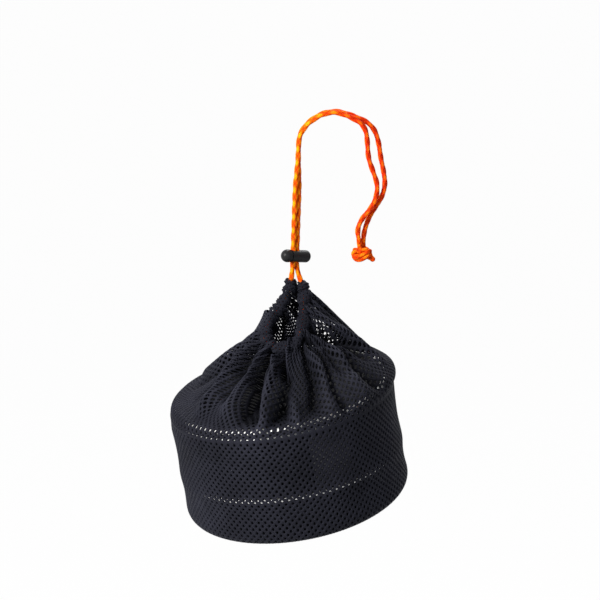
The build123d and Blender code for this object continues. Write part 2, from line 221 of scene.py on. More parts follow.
def new_mesh(name, verts, faces, uvs=None):
    """Smooth mesh piece; faces are one or more arrays of corners, uvs go by vertex or by face corner."""
    mesh = bpy.data.meshes.new(name)
    verts = np.asarray(verts, np.float32)
    if isinstance(faces, np.ndarray):
        faces = [faces]
    counts = np.concatenate([np.full(len(f), f.shape[1], np.int32) for f in faces])
    loops = np.concatenate([f.ravel() for f in faces]).astype(np.int32)
    mesh.vertices.add(len(verts))
    mesh.vertices.foreach_set("co", verts.ravel())
    mesh.loops.add(len(loops))
    mesh.loops.foreach_set("vertex_index", loops)
    mesh.polygons.add(len(counts))
    starts = np.concatenate([[0], np.cumsum(counts)[:-1]]).astype(np.int32)
    mesh.polygons.foreach_set("loop_start", starts)
    mesh.polygons.foreach_set("loop_total", counts)
    mesh.update(calc_edges=True)
    if uvs is not None:
        uvs = np.asarray(uvs, np.float32)
        by_corner = uvs[loops] if len(uvs) == len(verts) else uvs
        mesh.uv_layers.new(name="OFBake").data.foreach_set("uv", by_corner.ravel())
    mesh.polygons.foreach_set("use_smooth", np.full(len(counts), True))
    mesh.validate()
    return placed(name, mesh)


def mark(piece, label, values):
    """Give each vertex of the piece a value that its material can read."""
    attribute = piece.data.attributes.new(label, "FLOAT", "POINT")
    attribute.data.foreach_set("value", values.astype(np.float32))


def give(piece, material, replaced, body="bag"):
    """Finish of a piece, the body that it rides on and the part of the frame that it stands for."""
    piece.data.materials.append(material)
    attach(piece, body)
    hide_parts(replaced)


def nurbs_line(name, points, resolution=16):
    """Points along the smooth line of a cord: an open NURBS spline with the route's points."""
    curve = bpy.data.curves.new(name, "CURVE")
    curve.dimensions = "3D"
    spline = curve.splines.new("NURBS")
    spline.points.add(len(points) - 1)
    for control, point in zip(spline.points, points):
        control.co = (*point, 1)
    spline.order_u = 3
    spline.use_endpoint_u = True
    spline.resolution_u = resolution
    holder = placed(name, curve)
    bpy.context.view_layer.update()
    line = bpy.data.meshes.new_from_object(holder.evaluated_get(bpy.context.evaluated_depsgraph_get()))
    found = np.array([v.co for v in line.vertices], float)
    bpy.data.objects.remove(holder)
    bpy.data.meshes.remove(line)
    return found


def run_of(points):
    """Distance along a line at each of its points."""
    return np.concatenate([[0], np.cumsum(np.linalg.norm(np.diff(points, axis=0), axis=1))])


def points_at(points, run, at):
    """Points of a line at these distances along it."""
    return np.stack([np.interp(at, run, points[:, k]) for k in range(3)], 1)


def along(points, step):
    """The same line with even steps, and its length."""
    run = run_of(points)
    count = max(2, int(round(run[-1] / step)) + 1)
    return points_at(points, run, np.linspace(0, run[-1], count)), run[-1]


def frames(points):
    """Two cross directions at each point of a line, turning as little as they can."""
    tangent = np.gradient(points, axis=0)
    tangent /= np.linalg.norm(tangent, axis=1)[:, None]
    first = np.cross(tangent[0], (0.3, 1, 0.2))
    first /= np.linalg.norm(first)
    side = [first]
    for k in range(1, len(points)):
        v = side[-1] - tangent[k] * (side[-1] @ tangent[k])
        side.append(v / np.linalg.norm(v))
    side = np.array(side)
    return side, np.cross(tangent, side)


def ring_turns(count):
    """Angles of this many even steps round a circle."""
    return np.arange(count) / count * 2 * np.pi


def tube_faces(rings, around):
    """Faces of a tube's wall between its rings of vertices."""
    ring = np.arange(around)
    beside = (ring + 1) % around
    return np.concatenate([
        np.stack([ring, beside, beside + around, ring + around], 1) + k * around for k in range(rings - 1)
    ])


def cap_faces(rings, around):
    """Faces of a tube's two ends, each round a centre vertex that comes after the rings."""
    ring = np.arange(around)
    beside = (ring + 1) % around
    centre, last = rings * around, (rings - 1) * around
    return np.concatenate([
        np.stack([np.full(around, centre), beside, ring], 1),
        np.stack([np.full(around, centre + 1), last + ring, last + beside], 1),
    ])


def tube_uvs(rings, around, length, girth):
    """UVs for the corners of a capped tube: its length in strips side by side, the two caps beside them."""
    strips = max(1, round(math.sqrt(length / girth)))
    k = np.arange(rings - 1)[:, None]
    ring = np.arange(around)[None]
    strip = k * strips // (rings - 1)
    left = (strip + 0.02 + 0.96 * ring / around) / strips
    right = (strip + 0.02 + 0.96 * (ring + 1) / around) / strips
    low = k * strips / (rings - 1) - strip + 0 * left
    high = (k + 1) * strips / (rings - 1) - strip + 0 * left
    corners = ((left, low), (right, low), (right, high), (left, high))
    quads = np.stack([np.stack(c, -1) for c in corners], 2)
    quads[..., 0] *= 0.95
    turns = (ring[0] / around * 2 * np.pi, (ring[0] + 1) / around * 2 * np.pi)
    edges = [0.02 * np.stack([np.cos(turn), np.sin(turn)], 1) for turn in turns]
    caps = []
    for middle, (first, second) in ((0.3, edges[::-1]), (0.7, edges)):
        spot = np.array([0.975, middle])
        caps.append(np.stack([np.tile(spot, (around, 1)), spot + first, spot + second], 1))
    return quads.reshape(-1, 2), np.concatenate(caps).reshape(-1, 2)


def smoothstep(x):
    """0 below 0, 1 above 1, and a smooth step between."""
    x = np.clip(x, 0, 1)
    return x * x * (3 - 2 * x)


def hump(x, low, high):
    """Half a sine wave between low and high, nothing outside."""
    return np.sin(np.pi * np.clip((x - low) / (high - low), 0, 1))


# ------------------------------------------------------------------ shader helpers
def join(tree, value, socket):
    """Link another node's output to the socket, or set it to a constant."""
    if isinstance(value, bpy.types.NodeSocket):
        tree.links.new(value, socket)
    else:
        socket.default_value = value


def node(tree, kind, **values):
    """New node, with its settings and inputs by name."""
    made = tree.nodes.new(kind)
    for key, value in values.items():
        if key in made.inputs:
            join(tree, value, made.inputs[key])
        else:
            setattr(made, key, value)
    return made


def new_material(name):
    """New material, its node tree and its shader."""
    material = bpy.data.materials.new(name)
    material.use_nodes = True
    tree = material.node_tree
    return material, tree, tree.nodes["Principled BSDF"]


def finish_with(tree, shader, inputs):
    """Set or link the shader's inputs, given by name."""
    for name, value in inputs.items():
        join(tree, value, shader.inputs[name])


def new_group(name, inputs, outputs):
    """New node group, with the sockets that give it values and those that take its results."""
    group = bpy.data.node_groups.new(name, "ShaderNodeTree")
    for label, kind, default in inputs:
        group.interface.new_socket(name=label, in_out="INPUT", socket_type=kind).default_value = default
    for label, kind in outputs:
        group.interface.new_socket(name=label, in_out="OUTPUT", socket_type=kind)
    return group, group.nodes.new("NodeGroupInput").outputs, group.nodes.new("NodeGroupOutput").inputs


def own_place(tree):
    """A point's place on its piece, in the object's own coordinates."""
    return tree.nodes.new("ShaderNodeTexCoord").outputs["Object"]


def noise(tree, place, **values):
    """Value of a noise at this place."""
    return node(tree, "ShaderNodeTexNoise", Vector=place, **values).outputs["Fac"]


def mix_colour(tree, factor, first, second, blend="MIX"):
    """Colour between two others, each a socket or three numbers."""
    mix = node(tree, "ShaderNodeMix", data_type="RGBA", blend_type=blend)
    for socket, value in zip((mix.inputs[0], mix.inputs[6], mix.inputs[7]), (factor, first, second)):
        join(tree, (*value, 1) if isinstance(value, tuple) else value, socket)
    return mix.outputs[2]


def maths(tree, operation, *values):
    """Result of a sum on sockets or numbers."""
    made = node(tree, "ShaderNodeMath", operation=operation)
    for socket, value in zip(made.inputs, values):
        join(tree, value, socket)
    return made.outputs[0]


def ramp(tree, value, low, high, to_low=0.0, to_high=1.0):
    """The value, taken from the range low to high into the range to_low to to_high."""
    made = tree.nodes.new("ShaderNodeMapRange")
    for socket, setting in zip(made.inputs, (value, low, high, to_low, to_high)):
        join(tree, setting, socket)
    return made.outputs[0]


def mix_shaders(tree, factor, first, second, target):
    """Link the target to a mix of two shaders."""
    mix = tree.nodes.new("ShaderNodeMixShader")
    for socket, value in zip(mix.inputs, (factor, first, second)):
        join(tree, value, socket)
    tree.links.new(mix.outputs[0], target)


def seen_directly(tree):
    """1 for rays from the camera and for those that shiny or clear surfaces send on, else 0."""
    rays = tree.nodes.new("ShaderNodeLightPath").outputs
    sent_on = maths(tree, "MAXIMUM", rays["Is Glossy Ray"], rays["Is Transmission Ray"])
    return maths(tree, "MAXIMUM", rays["Is Camera Ray"], sent_on)


# ------------------------------------------------------------------ finishes
def surface_grain_group():
    """Moulded or rolled surface: fine grain height and slow colour variation."""
    if "Surface Grain" in bpy.data.node_groups:
        return bpy.data.node_groups["Surface Grain"]
    group, given, out = new_group(
        "Surface Grain",
        [("Scale", "NodeSocketFloat", 900.0), ("Depth", "NodeSocketFloat", 0.1),
         ("Variation", "NodeSocketFloat", 0.2)],
        [("Height", "NodeSocketFloat"), ("Variation", "NodeSocketFloat"), ("Normal", "NodeSocketVector")],
    )
    place = own_place(group)
    fine = noise(group, place, Scale=given["Scale"], Detail=4.0, Roughness=0.6)
    slow = noise(group, place, Scale=70.0, Detail=3.0)
    wide = ramp(group, slow, 0.3, 0.7, -1.0, 1.0)
    bump = node(group, "ShaderNodeBump", Distance=0.0001, Height=fine, Strength=given["Depth"])
    join(group, fine, out["Height"])
    join(group, maths(group, "MULTIPLY", wide, given["Variation"]), out["Variation"])
    join(group, bump.outputs["Normal"], out["Normal"])
    return group


def knit_group():
    """Fine wales and loops of warp-knitted yarn, from the net's own coordinates."""
    if "Knit Yarn" in bpy.data.node_groups:
        return bpy.data.node_groups["Knit Yarn"]
    group, given, out = new_group(
        "Knit Yarn",
        [("Wales", "NodeSocketFloat", 500.0), ("Courses", "NodeSocketFloat", 500.0),
         ("Colour", "NodeSocketColor", (0.02, 0.02, 0.03, 1)), ("Depth", "NodeSocketFloat", 0.4)],
        [("Colour", "NodeSocketColor"), ("Roughness", "NodeSocketFloat"), ("Normal", "NodeSocketVector")],
    )
    uv = node(group, "ShaderNodeUVMap", uv_map="OFBake")
    split = node(group, "ShaderNodeSeparateXYZ", Vector=uv.outputs["UV"])
    across = maths(group, "MULTIPLY", split.outputs[0], given["Wales"])
    up = maths(group, "MULTIPLY", split.outputs[1], given["Courses"])
    wale = maths(group, "SINE", across)
    course = maths(group, "SINE", maths(group, "ADD", up, maths(group, "MULTIPLY", wale, 1.1)))
    loops = maths(group, "MULTIPLY", maths(group, "ADD", wale, 1.0), maths(group, "ADD", course, 1.2))
    height = maths(group, "MULTIPLY", loops, 0.25)
    place = own_place(group)
    slow = noise(group, place, Scale=28.0, Detail=4.0, Roughness=0.65)
    fuzz = noise(group, place, Scale=2400.0, Detail=2.0)
    # slow random tone, and painted shade in the low parts of the knit's loops with painted light on their crests
    shade = maths(group, "ADD", maths(group, "MULTIPLY", height, 0.55), ramp(group, slow, 0.3, 0.7, 0.28, 0.78))
    shaded = node(group, "ShaderNodeVectorMath", operation="SCALE", Scale=shade)
    join(group, given["Colour"], shaded.inputs[0])
    total = maths(group, "ADD", height, maths(group, "MULTIPLY", fuzz, 0.35))
    bump = node(group, "ShaderNodeBump", Distance=0.00025, Height=total, Strength=given["Depth"])
    join(group, shaded.outputs[0], out["Colour"])
    join(group, ramp(group, height, 0.0, 1.0, 0.66, 0.44), out["Roughness"])
    join(group, bump.outputs["Normal"], out["Normal"])
    return group


def yarn_material(name, colour, wales, courses, depth=0.5):
    """Knitted yarn; wales and courses are how many cross its coordinates, depth is how far they stand out."""
    material, tree, shader = new_material(name)
    wave = 6.283  # one wale or course of the pattern
    knit = node(
        tree, "ShaderNodeGroup", node_tree=knit_group(),
        Wales=wave * wales, Courses=wave * courses, Colour=(*colour, 1), Depth=depth,
    ).outputs
    # painted shade in the valleys of the gathered cloth's folds and painted light on their ridges, from each vertex's
    # fold depth; pieces without folds keep their colour
    fold = node(tree, "ShaderNodeAttribute", attribute_name="fold").outputs["Fac"]
    painted_fold_shade = ramp(tree, fold, -0.010, 0.006, 0.25, 1.55)
    finish_with(tree, shader, {
        "Base Color": mix_colour(tree, 1.0, knit["Colour"], painted_fold_shade, "MULTIPLY"),
        "Roughness": knit["Roughness"], "Normal": knit["Normal"], "Specular IOR Level": 0.04,
        "Sheen Weight": 0.02, "Sheen Roughness": 0.4, "Sheen Tint": (0.62, 0.68, 0.9, 1),
    })
    return material


def cord_material(bright, second_tone_and_shade):
    """Braided cord: painted lighter on the taut side of the hold, as lit, and painted in shade where it hangs slack;
    painted shade in the grooves.
    """
    material, tree, shader = new_material("braided_cord")
    strand = node(tree, "ShaderNodeAttribute", attribute_name="strand").outputs["Fac"]
    relief = node(tree, "ShaderNodeAttribute", attribute_name="relief").outputs["Fac"]
    place = own_place(tree)
    fibre = noise(tree, place, Scale=1500.0, Detail=3.0, Roughness=0.7)
    patches = ramp(tree, noise(tree, place, Scale=140.0, Detail=2.0), 0.35, 0.65)
    split = node(tree, "ShaderNodeSeparateXYZ", Vector=place).outputs
    # painted light and shade: 0 on the taut side of the hold, painted as lit, 1 on the slack side, painted in shade,
    # and a little less towards the knot
    slack = maths(
        tree, "MULTIPLY", ramp(tree, split[0], -0.020, 0.012), ramp(tree, split[2], -0.118, -0.060, 0.72, 1.0))
    colour = mix_colour(
        tree, slack, mix_colour(tree, patches, bright, (1.0, 0.24, 0.002)),
        mix_colour(tree, patches, second_tone_and_shade, (0.80, 0.052, 0.001)))
    # painted highlight: the strands' crests are painted yellow, less on the slack side that is painted in shade
    crest = maths(tree, "MULTIPLY", ramp(tree, relief, 0.76, 0.98, 0.0, 0.85), ramp(tree, slack, 0.0, 1.0, 1.0, 0.32))
    # second strand tone, painted shade in the grooves, the painted crest highlights, and random fibre flecks
    for share, over in (
        (maths(tree, "MULTIPLY", strand, 0.25), second_tone_and_shade),
        (ramp(tree, relief, 0.15, 0.88, 0.95, 0.0), (0.40, 0.008, 0.0003)),
        (crest, (1.0, 0.40, 0.004)),
        (ramp(tree, fibre, 0.58, 0.78, 0.0, 0.3), (1.0, 0.30, 0.006)),
    ):
        colour = mix_colour(tree, share, colour, over)
    bump = node(tree, "ShaderNodeBump", Strength=0.4, Distance=0.0001, Height=fibre)
    # the yarn lets light through, so its shaded side glows
    finish_with(tree, shader, {
        "Base Color": colour, "Roughness": ramp(tree, fibre, 0.3, 0.7, 0.6, 0.8),
        "Normal": bump.outputs["Normal"], "Specular IOR Level": 0.08,
        "Subsurface Weight": 0.4, "Subsurface Radius": (1.0, 0.45, 0.05), "Subsurface Scale": 0.0025,
    })
    return material


def grained_material(name, dark, light, rough, metallic=0.0, scale=900.0, depth=0.1, gloss=0.5):
    """Solid material with fine grain, slow variation and a lighter worn tone."""
    material, tree, shader = new_material(name)
    variation = 0.25
    grain = node(
        tree, "ShaderNodeGroup", node_tree=surface_grain_group(),
        Scale=scale, Depth=depth, Variation=variation,
    ).outputs
    tone = ramp(tree, grain["Variation"], -variation, variation)
    finish_with(tree, shader, {
        "Base Color": mix_colour(tree, tone, dark, light),
        "Roughness": ramp(tree, grain["Height"], 0.3, 0.7, rough * 0.8, min(1.0, rough * 1.2)),
        "Normal": grain["Normal"], "Metallic": metallic, "Specular IOR Level": gloss,
    })
    return material


def coated_material(name, dark, light, rough, height, half, least):
    """Dark hard coating with one bare metal rim, whose near-white colour is partly a painted glint.

    The rim lies at this height above the base, is twice half wide, and shows only beyond the least
    distance from the load's axis.
    """
    material, tree, shader = new_material(name)
    variation = 0.2
    grain = node(
        tree, "ShaderNodeGroup", node_tree=surface_grain_group(), Scale=500.0, Depth=0.08, Variation=variation,
    ).outputs
    offset = node(tree, "ShaderNodeVectorMath", operation="SUBTRACT")
    lift = node(tree, "ShaderNodeVectorMath", operation="DOT_PRODUCT")
    aside = node(tree, "ShaderNodeVectorMath", operation="CROSS_PRODUCT")
    far = node(tree, "ShaderNodeVectorMath", operation="LENGTH")
    for made, first, second in (
        (offset, own_place(tree), tuple(base_centre)),
        (lift, offset.outputs[0], tuple(load_up)),
        (aside, offset.outputs[0], tuple(load_up)),
    ):
        join(tree, first, made.inputs[0])
        join(tree, second, made.inputs[1])
    join(tree, aside.outputs[0], far.inputs[0])
    near = maths(tree, "ABSOLUTE", maths(tree, "SUBTRACT", lift.outputs["Value"], height))
    outside = ramp(tree, far.outputs["Value"], least, least + 0.0004)
    rim = maths(tree, "MULTIPLY", ramp(tree, near, half, half * 0.8), outside)
    coat = mix_colour(tree, ramp(tree, grain["Variation"], -variation, variation), dark, light)
    finish_with(tree, shader, {
        # the rim band: bare metal, painted near white as a glint and only slightly metallic
        "Base Color": mix_colour(tree, rim, coat, rim_metal_and_glint),
        "Metallic": maths(tree, "MULTIPLY", rim, 0.3), "Roughness": ramp(tree, rim, 0, 1, rough, 0.36),
        "Normal": grain["Normal"], "Specular IOR Level": 0.08,
    })
    return material


# ------------------------------------------------------------------ the cloth's shape
# Azimuth is the turn about the load's axis: 0 to the right, a quarter turn to the back.
# Azimuth at which the two ends of the cord leave the casing
exit_turn = math.radians(30)

# How far the gathered cloth bows out between shoulder and mouth, by azimuth (degrees, mm)
bow_by_turn = [
    (0, 6.2), (20, 3.2), (50, 0.0), (90, 2.0), (130, 1.0), (165, -3.0), (200, -3.0), (235, 3.0),
    (270, 6.0), (310, 9.6), (340, 9.8), (360, 6.2),
]

# How much fuller the cloth is just above the shoulder, by azimuth (degrees, mm)
shoulder_by_turn = [
    (0, 6.8), (25, 6.8), (60, 2.6), (100, 0.0), (280, 0.0), (315, 2.0), (340, 6.0), (360, 6.8),
]

# Folds of the gathered cloth: points as (share of the way from shoulder to mouth, azimuth in
# degrees), width (degrees) and depth (mm, ridges positive)
folds = [
    ([(0.20, 196), (0.46, 182), (0.60, 160), (0.80, 138)], 5.0, -1.5),
    ([(0.20, 214), (0.45, 205), (0.70, 180), (0.90, 150)], 7.0, 7.5),
    ([(0.35, 228), (0.60, 208), (0.75, 188), (0.87, 165), (1.1, 150)], 7.0, -7.0),
    ([(0.20, 240), (0.45, 228), (0.65, 218), (0.85, 190), (1.1, 172)], 6.0, 4.0),
    ([(0.10, 256), (0.25, 253), (0.42, 246), (0.58, 236), (0.86, 206), (1.1, 188)], 7.0, -15.5),
    ([(0.02, 262), (0.17, 262), (0.42, 260), (0.67, 252), (0.94, 214)], 5.0, 7.0),
    ([(0.06, 269), (0.19, 270), (0.38, 272), (0.54, 270), (0.80, 250), (1.1, 220)], 5.0, -12.0),
    ([(0.02, 281), (0.15, 280), (0.29, 278), (0.48, 271), (0.75, 262), (1.1, 230)], 3.5, 5.0),
    ([(0.12, 289), (0.46, 292), (0.69, 287), (1.1, 262)], 5.0, -7.0),
    ([(0.02, 300), (0.26, 298), (0.55, 298), (0.80, 285)], 4.5, 4.0),
    ([(0.02, 307), (0.15, 306), (0.33, 303), (0.60, 304), (0.85, 285)], 3.5, -5.0),
    ([(0.02, 320), (0.28, 317), (0.54, 318), (0.80, 300)], 6.0, 4.0),
    ([(0.02, 334), (0.12, 332), (0.41, 324), (0.60, 326), (0.80, 308), (1.1, 282)], 4.5, -6.0),
    ([(0.30, 343), (0.58, 335), (0.73, 321), (0.90, 300), (1.1, 288)], 5.0, -9.0),
    ([(0.30, 318), (0.46, 314), (0.66, 310), (0.86, 284), (1.1, 270)], 5.0, -6.0),
    ([(0.15, 352), (0.50, 345), (0.80, 330), (1.1, 310)], 6.0, 3.0),
    ([(0.30, 362), (0.60, 358), (1.1, 350)], 5.0, -4.0),
    ([(0.25, 387), (0.50, 388), (1.1, 389)], 5.0, -5.0),
    ([(0.10, 54), (0.50, 52), (1.1, 50)], 6.0, -6.0),
    ([(0.10, 75), (0.50, 74), (1.1, 72)], 6.0, 5.0),
    ([(0.06, 93), (1.1, 93)], 6.0, -8.0),
    ([(0.10, 110), (1.1, 111)], 6.0, 5.0),
    ([(0.06, 125), (0.50, 126), (1.1, 128)], 5.5, -7.0),
    ([(0.10, 144), (0.50, 145), (1.1, 146)], 6.0, 4.0),
    ([(0.06, 160), (0.40, 161), (0.70, 152)], 5.5, -5.0),
]
fold_height, fold_spread = 1.35, 0.85  # shares of the depths and widths above


def turned(azimuth):
    """Unit direction across the load at this azimuth."""
    return np.cos(azimuth)[..., None] * load_across + np.sin(azimuth)[..., None] * front_back


def by_turn(pairs, azimuth):
    """Values of a table above at these azimuths, from mm to metres."""
    turns, values = zip(*pairs)
    return np.interp(np.degrees(azimuth), turns, values) / 1000


def surface_normals(grid):
    """Outward directions at the points of a grid whose rows close into rings."""
    normal = np.cross(np.roll(grid, -1, axis=1) - np.roll(grid, 1, axis=1), np.gradient(grid, axis=0))
    return normal / (np.linalg.norm(normal, axis=2)[..., None] + 1e-12)


def clear_of_lid(points):
    """The points, moved off the lid where they would lie inside its edge or its dome."""
    away = points - base_centre
    high = away @ load_up
    flat = away - high[..., None] * load_up
    wide = np.linalg.norm(flat, axis=-1)
    x, y = wide - lid_round_r, high - lid_round_h
    reach = lid_round + thread_clear
    gap = np.maximum(np.hypot(x, y), 1e-6)
    edge = (x > 0) & (y > 0) & (gap < reach)
    new_wide = np.where(edge, lid_round_r + x * reach / gap, wide)
    new_high = np.where(edge, lid_round_h + y * reach / gap, high)
    beside, over = (y <= 0) & (x > y), (x <= 0) & (y >= x)
    new_wide = np.where(beside & (x < reach), lid_round_r + reach, new_wide)
    dome = lid_round_h + reach + lid_dome * (1 - (wide / lid_round_r) ** 2)
    new_high = np.where(over & (high < dome), dome, new_high)
    moved = flat * (new_wide / np.maximum(wide, 1e-6))[..., None]
    return base_centre + new_high[..., None] * load_up + moved


def wall_grid(azimuth, rows):
    """Rows of cloth round the load, from the base's corner up to the shoulder."""
    corner_len = net_corner * math.pi / 2
    sag, most_tuck, tuck_tall = 0.0012, 0.0007, 0.012
    grid = np.zeros((rows, len(azimuth), 3))
    for k, s in enumerate(np.linspace(0, corner_len + (wall_top - wall_low), rows)):
        if s < corner_len:
            turn = s / net_corner
            r = net_r - net_corner + net_corner * math.sin(turn)
            h = net_half_thick + net_corner * (1 - math.cos(turn))
        else:
            h = wall_low + s - corner_len
            # the cloth sags in between the rims, and is drawn in below the lid on the left
            slack = hump(h, dish_rim + 0.003, pot_rim - 0.002) + 0.8 * hump(h, 0.012, dish_rim - 0.001)
            ripple = 0.25 * np.sin(azimuth * 7 + 0.6) + 0.2 * np.sin(azimuth * 13 + h * 60)
            ripple = ripple + 0.15 * np.sin(azimuth * 23 - h * 90)
            tuck = most_tuck * (1 - np.cos(azimuth)) * smoothstep((h - pot_rim + tuck_tall) / tuck_tall)
            r = net_r - tuck - sag * slack * (1 + 0.6 * ripple)
        grid[k] = base_centre + load_up * h + turned(azimuth) * np.asarray(r)[..., None]
    return grid


def gathered_grid(azimuth, shoulder, rows):
    """Rows of cloth from the shoulder to the casing, and how far the folds raise each point."""
    line = nurbs_line("mouth_line", mouth_route)
    line = np.concatenate([line, line[:1]])
    run = run_of(line)
    mouth = points_at(line, run, ((azimuth - exit_turn) % (2 * np.pi)) / (2 * np.pi) * run[-1])
    chord = mouth - shoulder
    length = np.linalg.norm(chord, axis=1)[:, None]
    way = np.linspace(0, 1, rows)[:, None]
    t = way[..., None]
    first = shoulder + load_up * 0.11 * length - turned(azimuth) * 0.012 * length / 0.1
    second = mouth - chord * 0.30
    grid = (1 - t) ** 3 * shoulder + 3 * (1 - t) ** 2 * t * first
    grid = grid + 3 * (1 - t) * t ** 2 * second + t ** 3 * mouth
    lift = by_turn(bow_by_turn, azimuth) * np.sin(np.pi * way ** 0.8) ** 1.2
    above_shoulder = np.exp(-(((way - 0.12) / 0.16) ** 2)) * smoothstep(way / 0.05)
    lift = lift + by_turn(shoulder_by_turn, azimuth) * above_shoulder
    folded = np.zeros_like(lift)
    for points, width, depth in folds:
        places, turns_at = np.array(points).T
        apart = azimuth - np.radians(np.interp(way, places, turns_at))
        gap = np.degrees((apart + np.pi) % (2 * np.pi) - np.pi)
        strength = smoothstep((way - places[0]) / 0.18) * smoothstep((places[-1] - way) / 0.15)
        folded = folded + fold_height * depth / 1000 * strength * np.exp(-(gap / (fold_spread * width)) ** 2)
    # small gathers where the casing draws the cloth in, and a slight waver all over
    gather_depth, waver_depth = 0.0022, 0.0006
    phase = azimuth * 34 + 1.5 * np.sin(azimuth * 5) + 0.8 * np.sin(azimuth * 11 + 1)
    gathers = gather_depth * smoothstep((way - 0.55) / 0.45) * np.sin(phase)
    waver = waver_depth * np.sin(azimuth * 9 + way * 7) * np.sin(np.pi * way)
    lift = lift + folded + gathers + waver
    return clear_of_lid(grid + surface_normals(grid) * lift[..., None]), folded


class Cloth:
    """The cloth's surface: a fine grid with smooth look-up by hole column and row."""

    upper_rows = 35  # rows of holes from shoulder to mouth
    fine = 6  # steps of the grid from hole to hole

    def __init__(self, columns, row_pitch):
        lower_len = net_corner * math.pi / 2 + wall_top - wall_low
        self.lower_rows = int(round(lower_len / row_pitch))
        azimuth = ring_turns(columns * self.fine)
        wall = wall_grid(azimuth, self.lower_rows * self.fine + 1)
        top, folded = gathered_grid(azimuth, wall[-1], self.upper_rows * self.fine + 1)
        self.grid = np.concatenate([wall[:-1], top])
        self.fold = np.concatenate([np.zeros(wall[:-1].shape[:2]), folded])
        self.normal = surface_normals(self.grid)

    def at(self, column, row, height):
        """Points at these columns and rows of holes, lifted off the cloth by height."""
        rows, turns = self.fold.shape
        x = (column * self.fine) % turns
        y = np.clip(row * self.fine, 0, rows - 1.0001)
        i, j = np.floor(x).astype(int) % turns, y.astype(int)
        fx, fy = (x - np.floor(x))[..., None], (y - j)[..., None]
        k = (i + 1) % turns
        point, normal = (
            table[j, i] * (1 - fx) * (1 - fy) + table[j, k] * fx * (1 - fy)
            + table[j + 1, i] * (1 - fx) * fy + table[j + 1, k] * fx * fy
            for table in (self.grid, self.normal)
        )
        return point + normal * height[..., None]

    def fold_at(self, column, row):
        """How far the folds raise the cloth there, in metres, valleys negative."""
        rows, turns = self.fold.shape
        i = np.round(column * self.fine).astype(int) % turns
        j = np.clip(np.round(row * self.fine).astype(int), 0, rows - 1)
        return self.fold[j, i]


def net_piece(name, point_at, cells, half_col, pitch, hole, height, uv_at, trims=(), open_at=None):
    """Net of raised threads round open holes, and the half column and row of each vertex.

    cells are (m, j) with m in half columns; half_col is how many there are round a closed net, or 0.
    point_at gives a point for half columns, rows and height, open_at how far a cell's hole is open.
    """
    keys, verts = {}, []

    def shared(m, j):
        key = (round(m * 2), round(j * 2))
        if half_col:
            key = (key[0] % (half_col * 2), key[1])
        if key not in keys:
            keys[key] = len(verts)
            crossing = (key[0] + key[1]) % 2 == 0 and key[0] % 2 == 0
            verts.append((m, j, height * 0.9 if crossing else height))
        return keys[key]

    border = [(1, 0), (0.5, 0.5), (0, 1), (-0.5, 0.5), (-1, 0), (-0.5, -0.5), (0, -1), (0.5, -0.5)]
    turns = ring_turns(len(border))
    quads = []
    for m, j in cells:
        previous = [shared(m + a, j + b) for a, b in border]
        opened = open_at(m, j) if open_at else 1.0
        # rings from the threads' shoulder over the hole's edge to its lower lip
        for scale, level in ((opened * (1.55 - 0.9 * (opened - 1)), 0.75), (opened, -0.4), (opened * 1.12, -2.2)):
            ring = list(range(len(verts), len(verts) + len(border)))
            for a in turns:
                across = math.cos(a) * hole * 0.9 * scale / pitch[0]
                upward = math.sin(a) * hole * 1.12 * scale / pitch[1]
                verts.append((m + across, j + upward, height * level))
            beside = ring[1:] + ring[:1]
            quads += list(zip(previous, previous[1:] + previous[:1], beside, ring))
            previous = ring
    faces = [np.array(quads)]
    if trims:
        faces.append(np.array([[shared(*p) for p in corner] for corner in trims]))
    m, j, lift = np.array(verts, float).T
    return new_mesh(name, point_at(m, j, lift), faces, uv_at(m, j)), m, j


# ------------------------------------------------------------------ cord
def braid(line, radius, pitch, around=28, step=0.0004, taper=0.0):
    """Round braided cord along a line: two sets of strands crossing over and under."""
    strands = 2
    points, length = along(line, step)
    side, up = frames(points)
    rings = len(points)
    s = np.linspace(0, length, rings)[:, None]
    phi = ring_turns(around)[None]
    a = (phi - 2 * np.pi * s / pitch) * strands / (2 * np.pi)
    b = (phi + 2 * np.pi * s / pitch) * strands / (2 * np.pi)
    ia, ib = np.floor(a), np.floor(b)
    da, db = a - ia - 0.5, b - ib - 0.5
    first_over = (ia + ib) % 2 == 0
    across, lengthwise = np.where(first_over, da, db), np.where(first_over, db, da)
    relief = np.sqrt(np.clip(1 - (1.9 * across) ** 2, 0, 1)) * (0.58 + 0.42 * np.cos(np.pi * lengthwise))
    strand = np.where(first_over, 0.0, 1.0)
    r = radius * (0.64 + 0.40 * relief)
    if taper:
        r = r * np.sqrt(np.clip(np.minimum(s, length - s) / taper, 0.02, 1))
    verts = points[:, None] + side[:, None] * (np.cos(phi) * r)[..., None] + up[:, None] * (np.sin(phi) * r)[..., None]
    tube = {
        "verts": np.concatenate([verts.reshape(-1, 3), points[:1], points[-1:]]),
        "wall": tube_faces(rings, around),
        "caps": cap_faces(rings, around),
        "uvs": tube_uvs(rings, around, length, 2 * math.pi * radius),
        "strand": np.append(strand.ravel(), [0.5, 0.5]),
        "relief": np.append(relief.ravel(), [0.5, 0.5]),
    }
    return tube, points, length


def braid_piece(name, *tubes):
    """One piece of one or more braided lengths, each with its own part of the UVs."""
    starts = np.cumsum([0] + [len(tube["verts"]) for tube in tubes])
    faces = [np.concatenate([tube[kind] + start for tube, start in zip(tubes, starts)]) for kind in ("wall", "caps")]
    uvs = [(tube["uvs"][kind] + (0, k)) / (1, len(tubes)) for kind in (0, 1) for k, tube in enumerate(tubes)]
    piece = new_mesh(name, np.concatenate([tube["verts"] for tube in tubes]), faces, np.concatenate(uvs))
    for label in ("strand", "relief"):
        mark(piece, label, np.concatenate([tube[label] for tube in tubes]))
    return piece


